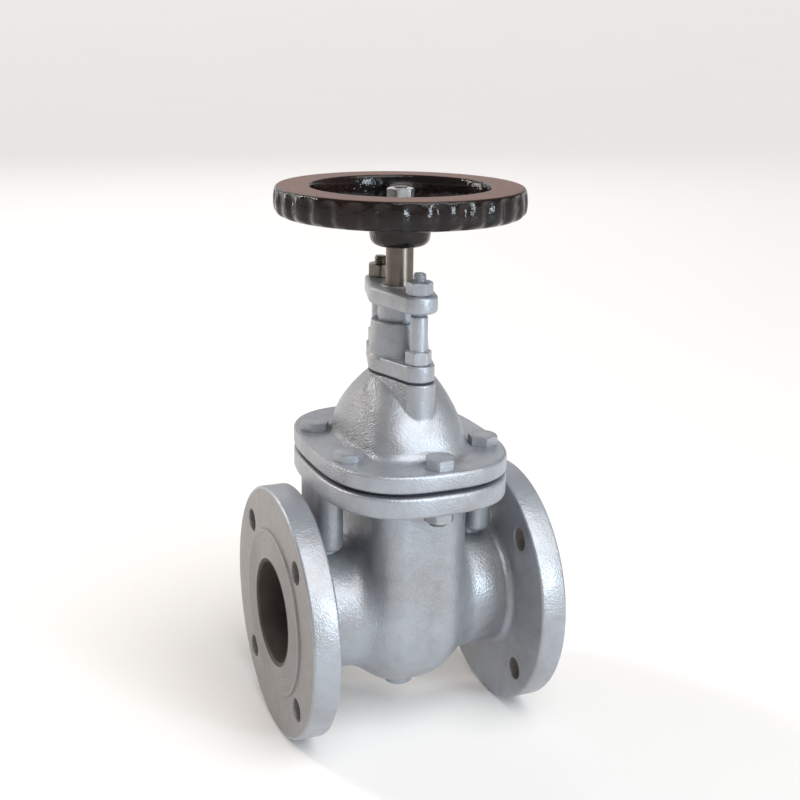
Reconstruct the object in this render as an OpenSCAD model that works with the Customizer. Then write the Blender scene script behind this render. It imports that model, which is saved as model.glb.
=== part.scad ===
// Flanged wedge gate valve with a non-rising stem and a three-spoke handwheel.
// The origin is the centre of the inlet sealing face, +X runs along the pipe and +Z up the stem.

/* [Pipe flanges] */
// Length over both sealing faces
face_to_face = 210; // [205:1:230]
// Outside diameter of a pipe flange
flange_od = 200; // [196:1:210]
// Thickness of a pipe flange at its rim
flange_thk = 21.5; // [18:0.5:24]
// Diameter of the raised sealing face
raised_face_od = 133; // [126:1:136]
// Height of the raised sealing face
raised_face_h = 1.5; // [1:0.5:3]
// Distance of the bolt circle from the flange's rim
bolt_edge = 20; // [18:0.5:22]
// Diameter of a flange bolt hole
bolt_hole_d = 18; // [14:0.5:20]
// Number of bolts in a pipe flange
bolt_count = 4; // [4:4:8]
// Diameter of the flow passage
bore_d = 80; // [72:1:82]

/* [Body] */
// Outside diameter of the neck behind a pipe flange
neck_d = 98; // [96:1:101]
// Outside diameter of the swollen neck at the stem
neck_bulge_d = 105; // [103:1:112]
// Radius of the blend from the neck to the flange
neck_fillet_r = 9; // [5:1:12]
// Half width of the gate chamber along the pipe, outside
chamber_half_x = 38.5; // [37:0.5:41]
// Half width of the gate chamber across the pipe, outside
chamber_half_y = 65; // [64:0.5:67]
// Corner radius of the gate chamber, outside
chamber_corner_r = 22; // [16:1:26]
// Drop of the chamber's round bottom below the pipe axis
chamber_drop = 5; // [2:1:10]
// Wall thickness of the body casting
body_wall = 7; // [6:0.5:8]
// Thickness of the lug between a neck and the body flange
lug_thk = 19.5; // [16:0.5:22]
// Half width of a lug across the pipe
lug_half_y = 28; // [22:1:28]
// Corner radius of a lug
lug_corner_r = 9; // [6:0.5:9.5]
// Distance of a lug's outer face from the body flange's edge
lug_inset = 0.5; // [0.5:0.5:3]
// Height of a lug's foot over the pipe axis
lug_z = 54.5; // [52:0.5:60]
// Half width of the rib from a lug's foot to the neck
lug_rib_half_y = 12; // [8:1:18]
// Diameter of the drain boss under the chamber
drain_boss_d = 24; // [18:1:30]
// Height of the drain boss under the chamber
drain_boss_h = 9; // [6:1:12]

/* [Bonnet joint] */
// Half width of the oval joint flanges along the pipe
joint_half_x = 72.5; // [71:0.5:76]
// Half width of the oval joint flanges across the pipe
joint_half_y = 95; // [93:0.5:99]
// Corner radius of the oval joint flanges
joint_corner_r = 62; // [50:1:66]
// Height of the body flange's lower face over the pipe axis
joint_z = 101.5; // [98:0.5:108]
// Thickness of the body flange
body_flange_thk = 16; // [13:0.5:20]
// Thickness of the bonnet gasket
joint_gasket_thk = 3.5; // [2:0.5:5]
// Distance of the gasket's edge from the flanges' edge
joint_gasket_inset = 5; // [3:0.5:8]
// Thickness of the bonnet flange
bonnet_flange_thk = 13.5; // [11:0.5:18]
// Diameter of a joint bolt hole
joint_hole_d = 17; // [14:0.5:18]
// Distance of the end bolts from the stem
joint_bolt_end = 80; // [78:0.5:82]
// Place of the side bolts along the pipe from the stem
joint_bolt_x = 55; // [54:0.5:57]
// Place of the side bolts across the pipe from the stem
joint_bolt_y = 40; // [39:0.5:43]

/* [Bonnet] */
// Half width of the dome along the pipe, outside
dome_half_x = 43.2; // [41:0.2:44]
// Half width of the dome across the pipe, outside
dome_half_y = 63.2; // [61:0.2:64]
// Squareness of the dome's plan, 2 for an ellipse
dome_square = 2.8; // [2.2:0.1:3.2]
// Height over the joint flange at which the dome's sides would meet
dome_crown_h = 55.5; // [55.5:0.5:60]
// Fullness of the dome's shoulders along the pipe
dome_full_x = 2.5; // [2:0.1:3]
// Fullness of the dome's shoulders across the pipe
dome_full_y = 2; // [1.9:0.1:2.4]
// Wall thickness of the bonnet casting
dome_wall = 8; // [6:0.5:9]
// Height of the bonnet's top face over the joint flange
bonnet_top_h = 54.5; // [52:0.5:55]
// Depth of the stud bosses under the bonnet's top face
stud_boss_h = 26; // [20:1:30]
// Depth of a stud's hole in the bonnet
stud_depth = 13.5; // [10:0.5:14]

/* [Stuffing box] */
// Distance of each gland stud from the stem
gland_stud_y = 39; // [38:0.5:42]
// Radius of the oval flanges' ends
gland_end_r = 13.7; // [13:0.1:15]
// Radius of the gland flange at its middle
gland_mid_r = 23.5; // [21:0.5:25]
// Thickness of the gasket under the stuffing box
box_gasket_thk = 1.5; // [1:0.5:3]
// Thickness of the stuffing box flange
box_flange_thk = 10; // [8:0.5:14]
// Radius of the stuffing box at its foot
box_foot_r = 24.2; // [23.5:0.1:26]
// Radius of the stuffing box at its mouth
box_mouth_r = 21.4; // [20.5:0.1:23]
// Height of the stuffing box over its flange
box_neck_h = 29; // [26:1:34]
// Height of the stem guide under the packing
box_guide_h = 11; // [8:1:14]
// Radius of the packing chamber
packing_r = 16.4; // [15:0.1:17]
// Height of the packing
packing_h = 22; // [16:1:24]
// Height from the stuffing box mouth to the gland flange
gland_gap = 13; // [8:1:15]
// Thickness of the gland flange
gland_flange_thk = 13; // [10:0.5:15]
// Diameter of a gland stud's shank
stud_d = 13.5; // [12:0.5:14]
// Diameter of a gland stud's upper end
stud_end_d = 10; // [8:0.5:11]
// Length of a stud's upper end over its nut
stud_over_nut = 6; // [3:1:9]
// Height of a nut under the gland, on the stuffing box flange
box_nut_h = 10.5; // [8:0.5:13]
// Width over the flats of the nuts on the stuffing box flange
box_nut_af = 18; // [17:0.5:20]
// Height of a nut on the gland
gland_nut_h = 10; // [6:0.5:12]
// Width over the flats of the nuts on the gland
gland_nut_af = 18; // [16:0.5:20]

/* [Stem and gate] */
// Diameter of the stem
stem_d = 21; // [19:0.5:21]
// Radius of the stem's thrust collar
collar_r = 17; // [15:0.5:18]
// Depth of the collar's seat in the bonnet
collar_depth = 8; // [6:0.5:9]
// Lift of the gate from closed to open
gate_lift = 82.5; // [82:0.5:83]
// Half thickness of the gate at the pipe axis
gate_half_x = 18; // [16:0.5:18]
// Slope of the gate's faces
gate_slope = 5; // [4:0.5:6]
// Width of the sealing rings
seal_w = 6; // [4:0.5:7]
// Step from a seat ring's face to its spigot, on the radius
seat_step = 2; // [1:0.5:3]
// Thickness of the gate's sealing rings
gate_ring_thk = 4; // [3:0.5:5]
// Half width of the gate's head
gate_head_half = 17; // [16:0.5:18]
// Height of the gate's head over the pipe axis
gate_head_z = 80; // [79:0.5:80]
// Half width of the stem nut
stem_nut_half = 14; // [13:0.5:14]
// Height of the stem nut
stem_nut_h = 24; // [20:1:24]
// Thickness of the gate's head over the stem nut
gate_head_thk = 8; // [6:0.5:8]

/* [Handwheel] */
// Outside diameter of the handwheel
wheel_d = 190; // [180:1:200]
// Width of the rim
rim_w = 28.5; // [24:0.5:30]
// Height of the rim
rim_h = 21.5; // [18:0.5:24]
// Radius of the rim's edges
rim_round = 3.5; // [2:0.5:6]
// Height of the rim's top over the pipe axis
wheel_top_z = 331; // [328:1:336]
// Radius of the hub
hub_r = 24; // [22:0.5:27]
// Radius of the hub's lower edge
hub_round = 8; // [4:0.5:9]
// Height of the hub
hub_h = 30; // [26:1:32]
// Height of the hub's foot over the pipe axis
hub_z = 286; // [284:1:288]
// Number of spokes
spoke_count = 3; // [3:1:5]
// Direction of the first spoke, from +X
spoke_turn = 66; // [0:1:120]
// Width of a spoke
spoke_w = 22; // [16:0.5:26]
// Thickness of a spoke
spoke_thk = 11; // [8:0.5:13]
// Width of the square on the stem under the handwheel
stem_square = 14; // [12:0.5:14]
// Diameter of the stem's threaded top
stem_top_d = 12; // [10:0.5:13]
// Thickness of the handwheel's washer
washer_thk = 3; // [2:0.5:4]
// Diameter of the handwheel's washer
washer_d = 28; // [24:1:34]
// Height of the handwheel's nut
wheel_nut_h = 10; // [8:0.5:11]
// Width over the flats of the handwheel's nut
wheel_nut_af = 19; // [17:0.5:22]

/* [Hidden] */
// Play between pieces that slide or turn on each other
play = 0.3;
// Play of a turning shaft in its guide, on the radius
guide_play = 0.1;
// Play of a bolt or stud in its hole, on the radius
stud_play = 0.5;
// Reach of a cut past the surface that it opens, and of a piece into the one that it is cast with
over = 1;
// Room past the end of a thread or rod
end_room = 2;
// Points round the dome's plan, and rings up its height
dome_points = 48;
dome_rings = 10;
$fn = 96;

// Place of the stem along the pipe, and heights of the pieces along the stem
stem_x = face_to_face / 2;
gasket_z = joint_z + body_flange_thk;
bonnet_z = gasket_z + joint_gasket_thk;
dome_z = bonnet_z + bonnet_flange_thk;
bonnet_top_z = dome_z + bonnet_top_h;
box_z = bonnet_top_z + box_gasket_thk;
box_neck_z = box_z + box_flange_thk;
box_mouth_z = box_neck_z + box_neck_h;
packing_z = box_z + box_guide_h;
gland_z = box_mouth_z + gland_gap;
gland_top_z = gland_z + gland_flange_thk;
hub_top_z = hub_z + hub_h;
wheel_nut_z = hub_top_z + washer_thk;
stem_nut_z = gate_head_z - gate_head_thk - stem_nut_h;
stem_end_z = stem_nut_z - end_room;
stem_top_z = wheel_nut_z + wheel_nut_h + over;

// Radii of the passage and of the sealing rings
bore_r = bore_d / 2;
bolt_circle_d = flange_od - 2 * bolt_edge;
seal_r = bore_r + seal_w;
stem_r = stem_d / 2;
chamber_in_x = chamber_half_x - body_wall;
chamber_in_y = chamber_half_y - body_wall;

// Moves a shape to the stem axis, at height z
module at_stem(z = 0) {
    translate([stem_x, 0, z]) children();
}

// Turns a shape drawn along Z so that it lies along the pipe, with its foot at x
module along_pipe(x = 0) {
    translate([x, 0, 0]) rotate([0, 90, 0]) children();
}

// Rectangle of half widths hx and hy with round corners of radius r
module rounded_rect(hx, hy, r) {
    union() {
        square([2 * (hx - r), 2 * hy], center = true);
        square([2 * hx, 2 * (hy - r)], center = true);
        for (sx = [-1, 1], sy = [-1, 1])
            translate([sx * (hx - r), sy * (hy - r)]) circle(r);
    }
}

// Outline of the oval joint flanges, inset all round
module joint_outline(inset = 0) {
    rounded_rect(joint_half_x - inset, joint_half_y - inset, joint_corner_r - inset);
}

// Places of the bonnet bolts
joint_bolts = concat(
    [for (sy = [-1, 1]) [0, sy * joint_bolt_end]],
    [for (sx = [-1, 1], sy = [-1, 1]) [sx * joint_bolt_x, sy * joint_bolt_y]]
);

// Bolt holes through a joint flange of thickness thk
module joint_holes(thk) {
    for (p = joint_bolts)
        translate([p.x, p.y, -over]) cylinder(d = joint_hole_d, h = thk + 2 * over);
}

// Half of the body's outside, turned about the pipe axis, from the sealing face to the chamber
module neck_half() {
    neck_r = neck_d / 2;
    bulge_r = neck_bulge_d / 2;
    back = raised_face_h + flange_thk;
    rise = bulge_r - neck_r;
    run = stem_x - back;
    sweep_r = (run * run + rise * rise) / (2 * rise);
    rotate([90, 0, 90]) rotate_extrude() difference() {
        union() {
            square([raised_face_od / 2, stem_x]);
            translate([0, raised_face_h]) square([flange_od / 2, flange_thk]);
        }
        translate([neck_r - over, back]) difference() {
            square([flange_od, stem_x]);
            difference() {
                square([neck_fillet_r + over, neck_fillet_r]);
                translate([neck_fillet_r + over, neck_fillet_r]) circle(neck_fillet_r);
            }
            translate([rise + over - sweep_r, run]) circle(sweep_r);
        }
    }
}

// Chamber for the gate: straight up to height top, round below the pipe axis
module chamber(hx, hy, r, top) {
    translate([0, 0, -chamber_drop]) {
        linear_extrude(top + chamber_drop) rounded_rect(hx, hy, r);
        rotate([-90, 0, 0]) rotate([0, 90, 0]) rotate_extrude(angle = 180) intersection() {
            rounded_rect(hy, hx, r);
            translate([0, -hx]) square([hy, 2 * hx]);
        }
    }
}

// Lug under the +X end of the body flange, with a rib down to the neck
module lug() {
    x = joint_half_x - lug_inset - lug_thk / 2;
    translate([x, 0, lug_z]) linear_extrude(joint_z - lug_z + over)
        rounded_rect(lug_thk / 2, lug_half_y, lug_corner_r);
    translate([x - lug_thk / 2 + over, -lug_rib_half_y, bore_r + over])
        cube([lug_thk - 2 * over, 2 * lug_rib_half_y, lug_z - bore_r]);
}

// Bolt holes of one pipe flange, from its sealing side
module pipe_holes() {
    for (i = [0 : bolt_count - 1])
        rotate((i + 0.5) * 360 / bolt_count)
            translate([bolt_circle_d / 2, 0, -over])
                cylinder(d = bolt_hole_d, h = raised_face_h + flange_thk + 2 * over);
}

// Space that the gate's sloped face closes, between the face at offset gap and the chamber's end
module seat_side(gap) {
    t = tan(gate_slope);
    top = chamber_half_y;
    rotate([90, 0, 0]) translate([0, 0, -flange_od / 2]) linear_extrude(flange_od)
        polygon([
            [gate_half_x + gap - top * t, -top], [stem_x, -top],
            [stem_x, top], [gate_half_x + gap + top * t, top]
        ]);
}

// Cast body with both pipe flanges, the gate chamber and the oval flange for the bonnet
module body() {
    seat_x = chamber_in_x - seal_w / 2;
    color("silver") difference() {
        union() {
            neck_half();
            translate([face_to_face, 0, 0]) mirror([1, 0, 0]) neck_half();
            at_stem() chamber(chamber_half_x, chamber_half_y, chamber_corner_r, joint_z + over);
            for (turn = [0, 180]) at_stem() rotate(turn) lug();
            at_stem(joint_z) linear_extrude(body_flange_thk) joint_outline();
            at_stem(-chamber_drop - chamber_half_y - drain_boss_h)
                cylinder(d = drain_boss_d, h = drain_boss_h + body_wall);
        }
        difference() {
            at_stem() chamber(chamber_in_x, chamber_in_y, chamber_corner_r - body_wall, gasket_z + over);
            for (turn = [0, 180])
                at_stem() rotate(turn) along_pipe(seat_x) cylinder(r = seal_r + seal_w, h = seal_w);
        }
        along_pipe(-over) cylinder(r = bore_r, h = face_to_face + 2 * over);
        for (turn = [0, 180])
            at_stem() rotate(turn) along_pipe(seat_x - over)
                cylinder(r = seal_r - seat_step, h = body_wall + over);
        along_pipe() pipe_holes();
        translate([face_to_face, 0, 0]) mirror([1, 0, 0]) along_pipe() pipe_holes();
        at_stem(joint_z) joint_holes(body_flange_thk);
    }
}

// Bronze ring set into the body beside the gate, on the +X side of the stem
module seat_ring() {
    seat_x = chamber_in_x - seal_w / 2;
    spigot = body_wall - over;
    intersection() {
        difference() {
            union() {
                along_pipe() cylinder(r = seal_r, h = seat_x);
                along_pipe() cylinder(r = seal_r - seat_step - guide_play, h = seat_x + spigot - over);
            }
            along_pipe(-over) cylinder(r = bore_r, h = stem_x);
        }
        seat_side(play);
    }
}

module inlet_seat_ring() {
    color("goldenrod") at_stem() mirror([1, 0, 0]) seat_ring();
}

module outlet_seat_ring() {
    color("goldenrod") at_stem() seat_ring();
}

// Sealing ring in the gate's +X face; shrink leaves room for it in the gate
module gate_ring(shrink = 0) {
    intersection() {
        difference() {
            seat_side(-gate_ring_thk - shrink);
            seat_side(shrink);
        }
        along_pipe() difference() {
            cylinder(r = seal_r + shrink, h = stem_x);
            translate([0, 0, -over]) cylinder(r = bore_r - shrink, h = stem_x + 2 * over);
        }
    }
}

// Hollow wedge that closes the passage, with a head that holds the stem nut
module gate() {
    nut_half = stem_nut_half + play;
    color("dimgray") at_stem() difference() {
        union() {
            difference() {
                along_pipe(-stem_x) cylinder(r = seal_r, h = 2 * stem_x);
                seat_side(0);
                mirror([1, 0, 0]) seat_side(0);
            }
            translate([-gate_head_half, -gate_head_half, 0])
                cube([2 * gate_head_half, 2 * gate_head_half, gate_head_z]);
        }
        for (side = [0, 1]) mirror([side, 0, 0]) gate_ring(guide_play);
        translate([0, 0, stem_end_z - gate_lift - end_room]) cylinder(r = stem_r + over, h = face_to_face);
        translate([-nut_half, -gate_head_half - over, stem_nut_z - play])
            cube([2 * nut_half, 2 * (gate_head_half + over), stem_nut_h + 2 * play]);
    }
}

module inlet_gate_ring() {
    color("goldenrod") at_stem() mirror([1, 0, 0]) gate_ring();
}

module outlet_gate_ring() {
    color("goldenrod") at_stem() gate_ring();
}

// Square nut that slides into the gate's head and rides on the stem's thread
module stem_nut() {
    color("goldenrod") at_stem(stem_nut_z) difference() {
        translate([-stem_nut_half, -stem_nut_half, 0])
            cube([2 * stem_nut_half, 2 * stem_nut_half, stem_nut_h]);
        translate([0, 0, -over]) cylinder(r = stem_r + guide_play, h = stem_nut_h + 2 * over);
    }
}

// Stem with its thrust collar, the square for the handwheel and a threaded top
module stem() {
    color("tan") at_stem() {
        translate([0, 0, stem_end_z]) cylinder(r = stem_r, h = hub_z - stem_end_z);
        translate([0, 0, bonnet_top_z - collar_depth + play])
            cylinder(r = collar_r, h = collar_depth + box_gasket_thk - 2 * play);
        translate([-stem_square / 2, -stem_square / 2, hub_z])
            cube([stem_square, stem_square, hub_h - over]);
        translate([0, 0, hub_z]) cylinder(d = stem_top_d, h = stem_top_z - hub_z);
    }
}

module bonnet_gasket() {
    color("midnightblue") at_stem(gasket_z) difference() {
        linear_extrude(joint_gasket_thk) joint_outline(joint_gasket_inset);
        translate([0, 0, -over]) linear_extrude(joint_gasket_thk + 2 * over)
            rounded_rect(chamber_in_x, chamber_in_y, chamber_corner_r - body_wall);
        joint_holes(joint_gasket_thk);
    }
}

// Share of the dome's half width that is left at height h, for a shoulder of this fullness
function dome_share(h, crown, full) = pow(1 - pow(max(h, 0) / crown, full), 1 / full);

// Power that keeps the sign of its base
function signed_pow(v, e) = sign(v) * pow(abs(v), e);

// Outline of the dome at height h over the joint flange, inset on every side
function dome_ring(h, inset) = let (
    crown = dome_crown_h - inset,
    a = (dome_half_x - inset) * dome_share(h, crown, dome_full_x),
    b = (dome_half_y - inset) * dome_share(h, crown, dome_full_y)
) [for (i = [0 : dome_points - 1]) let (t = 360 * i / dome_points)
    [a * signed_pow(cos(t), 2 / dome_square), b * signed_pow(sin(t), 2 / dome_square)]];

// Dome with a squarish plan, from height foot to height top, inset on every side
module dome(foot, top, inset = 0) {
    hull() for (i = [0 : dome_rings]) let (h = max(top, 0) * i / dome_rings)
        translate([0, 0, i == 0 ? foot : h - play]) linear_extrude(i == 0 ? h - foot + play : play)
            polygon(dome_ring(h, inset));
}

// Oval plate for the gland studs: a middle of radius mid, round ends and straight sides that touch both
module gland_plate(mid, thk) {
    lean = asin((mid - gland_end_r) / gland_stud_y);
    side = [mid * cos(lean), mid * sin(lean)];
    tip = [gland_end_r * cos(lean), gland_stud_y + gland_end_r * sin(lean)];
    linear_extrude(thk) union() {
        circle(mid);
        for (s = [-1, 1]) translate([0, s * gland_stud_y]) circle(gland_end_r);
        polygon([
            side, tip, [-tip.x, tip.y], [-side.x, side.y],
            -side, -tip, [tip.x, -tip.y], [side.x, -side.y]
        ]);
    }
}

// Holes for both gland studs, of radius r
module gland_holes(r, thk) {
    for (s = [-1, 1])
        translate([0, s * gland_stud_y, -over]) cylinder(r = r, h = thk + 2 * over);
}

// Cast bonnet: oval flange, dome with stud bosses, and a seat for the stem's collar
module bonnet() {
    inner_top = bonnet_top_h - collar_depth - dome_wall;
    color("silver") at_stem(dome_z) difference() {
        union() {
            translate([0, 0, -bonnet_flange_thk]) linear_extrude(bonnet_flange_thk) joint_outline();
            dome(-over, bonnet_top_h);
            translate([0, 0, bonnet_top_h - stud_boss_h]) gland_plate(box_foot_r, stud_boss_h);
        }
        dome(-bonnet_flange_thk - over, inner_top, dome_wall);
        cylinder(r = stem_r + over, h = bonnet_top_h);
        translate([0, 0, bonnet_top_h - collar_depth]) cylinder(r = collar_r + play, h = collar_depth + over);
        translate([0, 0, bonnet_top_h - stud_depth]) gland_holes(stud_d / 2 + guide_play, stud_depth);
        translate([0, 0, -bonnet_flange_thk]) joint_holes(bonnet_flange_thk);
    }
}

module stuffing_box_gasket() {
    color("midnightblue") at_stem(bonnet_top_z) difference() {
        gland_plate(box_foot_r, box_gasket_thk);
        translate([0, 0, -over]) cylinder(r = collar_r + play, h = box_gasket_thk + 2 * over);
        gland_holes(stud_d / 2 + stud_play, box_gasket_thk);
    }
}

// Flanged sleeve that guides the stem and holds its packing
module stuffing_box() {
    color("silver") at_stem(box_z) difference() {
        union() {
            gland_plate(box_foot_r, box_flange_thk);
            translate([0, 0, box_flange_thk])
                cylinder(r1 = box_foot_r, r2 = box_mouth_r, h = box_neck_h);
        }
        translate([0, 0, -over]) cylinder(r = stem_r + guide_play, h = box_guide_h + 2 * over);
        translate([0, 0, box_guide_h]) cylinder(r = packing_r + guide_play, h = box_neck_h + box_flange_thk);
        gland_holes(stud_d / 2 + stud_play, box_flange_thk);
    }
}

module packing() {
    color("dimgray") at_stem(packing_z) difference() {
        cylinder(r = packing_r, h = packing_h);
        translate([0, 0, -over]) cylinder(r = stem_r + play, h = packing_h + 2 * over);
    }
}

// Gland that presses the packing down, with its oval flange
module gland() {
    sleeve_z = packing_z + packing_h;
    color("silver") at_stem() difference() {
        union() {
            translate([0, 0, sleeve_z]) cylinder(r = packing_r, h = gland_z - sleeve_z + over);
            translate([0, 0, gland_z]) gland_plate(gland_mid_r, gland_flange_thk);
        }
        translate([0, 0, sleeve_z - over]) cylinder(r = stem_r + play, h = gland_top_z - sleeve_z + 2 * over);
        translate([0, 0, gland_z]) gland_holes(stud_end_d / 2 + stud_play, gland_flange_thk);
    }
}

// Stud with a thick shank up to the gland and a thinner end through it
module gland_stud(side) {
    foot_z = bonnet_top_z - stud_depth;
    end_z = gland_top_z + gland_nut_h + stud_over_nut;
    color("gray") translate([stem_x, side * gland_stud_y, 0]) {
        translate([0, 0, foot_z]) cylinder(d = stud_d, h = gland_z - foot_z);
        translate([0, 0, gland_z]) cylinder(d = stud_end_d, h = end_z - gland_z);
    }
}

// Hexagon nut of width af over its flats, bored for a thread of diameter d
module hex_nut(af, h, d) {
    difference() {
        cylinder(d = af / cos(30), h = h, $fn = 6);
        translate([0, 0, -over]) cylinder(d = d + 2 * guide_play, h = h + 2 * over);
    }
}

module stuffing_box_nut(side) {
    color("silver") translate([stem_x, side * gland_stud_y, box_neck_z])
        hex_nut(box_nut_af, box_nut_h, stud_d);
}

module gland_nut(side) {
    color("silver") translate([stem_x, side * gland_stud_y, gland_top_z])
        hex_nut(gland_nut_af, gland_nut_h, stud_end_d);
}

// Section of the handwheel's rim, from its inner edge outwards and up from its foot
module rim_section() {
    translate([wheel_d / 2 - rim_w / 2, rim_h / 2]) rounded_rect(rim_w / 2, rim_h / 2, rim_round);
}

// Half section of the hub, with its lower edge rounded
module hub_section() {
    square([hub_r - hub_round, hub_h]);
    translate([0, hub_round]) square([hub_r, hub_h - hub_round]);
    translate([hub_r - hub_round, hub_round]) circle(hub_round);
}

// Dished handwheel: rim, spokes that drop to the hub, and a square hole for the stem
module handwheel() {
    rim_z = wheel_top_z - rim_h;
    spoke_in = hub_r - over;
    spoke_out = wheel_d / 2 - rim_w / 2;
    hub_mid_z = hub_top_z - spoke_thk;
    rim_mid_z = rim_z + (rim_h - spoke_thk) / 2;
    color("black") at_stem() difference() {
        union() {
            translate([0, 0, rim_z]) rotate_extrude() rim_section();
            translate([0, 0, hub_z]) rotate_extrude() hub_section();
            for (i = [0 : spoke_count - 1])
                rotate(spoke_turn + i * 360 / spoke_count)
                    rotate([90, 0, 0]) translate([0, 0, -spoke_w / 2]) linear_extrude(spoke_w)
                        polygon([
                            [0, hub_mid_z], [spoke_in, hub_mid_z], [spoke_out, rim_mid_z],
                            [spoke_out, rim_mid_z + spoke_thk], [spoke_in, hub_mid_z + spoke_thk],
                            [0, hub_mid_z + spoke_thk]
                        ]);
        }
        translate([-stem_square / 2 - guide_play, -stem_square / 2 - guide_play, hub_z - over])
            cube([stem_square + 2 * guide_play, stem_square + 2 * guide_play, hub_h + 2 * over]);
    }
}

module handwheel_washer() {
    color("gainsboro") at_stem(hub_top_z) difference() {
        cylinder(d = washer_d, h = washer_thk);
        translate([0, 0, -over]) cylinder(d = stem_top_d + 2 * play, h = washer_thk + 2 * over);
    }
}

module handwheel_nut() {
    color("gainsboro") at_stem(wheel_nut_z) hex_nut(wheel_nut_af, wheel_nut_h, stem_top_d);
}

body();
inlet_seat_ring();
outlet_seat_ring();
gate();
inlet_gate_ring();
outlet_gate_ring();
stem_nut();
stem();
bonnet_gasket();
bonnet();
stuffing_box_gasket();
stuffing_box();
packing();
gland();
gland_stud(-1);  // front_gland_stud
gland_stud(1);  // back_gland_stud
stuffing_box_nut(-1);  // front_stuffing_box_nut
stuffing_box_nut(1);  // back_stuffing_box_nut
gland_nut(-1);  // front_gland_nut
gland_nut(1);  // back_gland_nut
handwheel();
handwheel_washer();
handwheel_nut();
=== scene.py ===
import math
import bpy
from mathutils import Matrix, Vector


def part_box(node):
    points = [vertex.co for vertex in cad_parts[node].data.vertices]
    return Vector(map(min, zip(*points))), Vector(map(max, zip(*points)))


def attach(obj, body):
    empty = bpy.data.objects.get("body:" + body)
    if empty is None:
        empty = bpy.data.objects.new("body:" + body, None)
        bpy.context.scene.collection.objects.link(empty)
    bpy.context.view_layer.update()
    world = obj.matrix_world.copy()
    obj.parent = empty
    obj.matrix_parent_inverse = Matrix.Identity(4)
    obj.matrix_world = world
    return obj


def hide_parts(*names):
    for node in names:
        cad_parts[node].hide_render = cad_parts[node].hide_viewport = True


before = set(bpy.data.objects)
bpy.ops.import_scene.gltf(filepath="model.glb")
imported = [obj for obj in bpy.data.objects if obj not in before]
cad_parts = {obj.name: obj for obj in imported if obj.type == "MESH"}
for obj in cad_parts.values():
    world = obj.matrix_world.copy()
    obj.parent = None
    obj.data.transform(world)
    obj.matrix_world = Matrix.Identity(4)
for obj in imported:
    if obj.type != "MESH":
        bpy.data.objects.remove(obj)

from types import SimpleNamespace

import bmesh
import bpy
import numpy as np
from bpy.props import FloatProperty, FloatVectorProperty, IntProperty, PointerProperty
from mathutils import Matrix, Vector

bl_info = {
    "name": "Flanged gate valve",
    "version": (1, 0, 0),
    "blender": (4, 5, 0),
    "location": "View3D > Sidebar > Gate valve",
    "description": "Builds the castings, fasteners and finishes of a flanged gate valve round its CAD frame",
    "category": "Object",
}

MM = 0.001
TAU = 2 * math.pi
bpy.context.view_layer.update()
LOW = {name: np.array(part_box(name)[0]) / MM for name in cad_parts}
HIGH = {name: np.array(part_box(name)[1]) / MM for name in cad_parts}
FOOT = {name: corner[2] for name, corner in LOW.items()}
TOP = {name: corner[2] for name, corner in HIGH.items()}
STEM_X = float(LOW["stem"][0] + HIGH["stem"][0]) / 2

# Lengths in millimetres
JOINT_Z = FOOT["bonnet_gasket"] - 16  # underside of the body's oval flange, which is 16 thick
BONNET_FLANGE = 13.5  # thickness of the bonnet's oval flange
GLAND_PLATE = 13      # thickness of the gland's plate
SEAT_STEP = 4.5       # step from the passage out to the gate chamber's inlet
STEM_R = 10.5         # radius of the stem
COLLAR_R = 17         # radius of the stem's collar
BOX_HOLE = 10.8       # radius of the stuffing box's hole for the stem
GLAND_HOLE = 10.9     # radius of the gland's hole for the stem
BONNET_HOLE = 11      # radius of the bonnet's hole for the stem
COLLAR_HOLE = 17.6    # radius of the seat for the collar
STUD_NUT = 18         # width of the gland studs' nuts over the flats
WHEEL_NUT = 19        # width of the handwheel's nut over the flats
HUB_HEIGHT = 30       # height of the handwheel's hub
TIP = 0.01            # radius at which a turned profile meets its axis

DOME_SQUARE = 3.1     # power of the dome's plan at its foot; 2 at its top
DOME_FULL_X = 2.0     # fullness of the dome's shoulders along the pipe
DOME_FULL_Y = 1.5     # and across it
SHARP = 38            # edges that turn by more degrees stay sharp
NUT_SHARP = 28        # the same on nuts and bolts
PAINT = "cast_silver_paint"

# Camera of the photograph
PHOTO_PLACE = (-0.26361, -0.88849, 0.44783)
PHOTO_TURN, PHOTO_TILT, PHOTO_ROLL = (math.radians(x) for x in (-22.6363, 16.4459, -0.8081))
PHOTO_FOCUS = 1282.69 / 800  # focal length over the picture's width
SENSOR = 36


# Properties

def size(name, description, millimetres):
    """A length that the user can change, given in millimetres and kept in metres."""
    return FloatProperty(name=name, description=description, default=millimetres * MM,
                         unit="LENGTH", subtype="DISTANCE", precision=4)


def tint(name, description, red, green, blue):
    """A colour that the user can change, in linear light."""
    return FloatVectorProperty(name=name, description=description, default=(red, green, blue),
                               size=3, min=0, max=1, subtype="COLOR")


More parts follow.
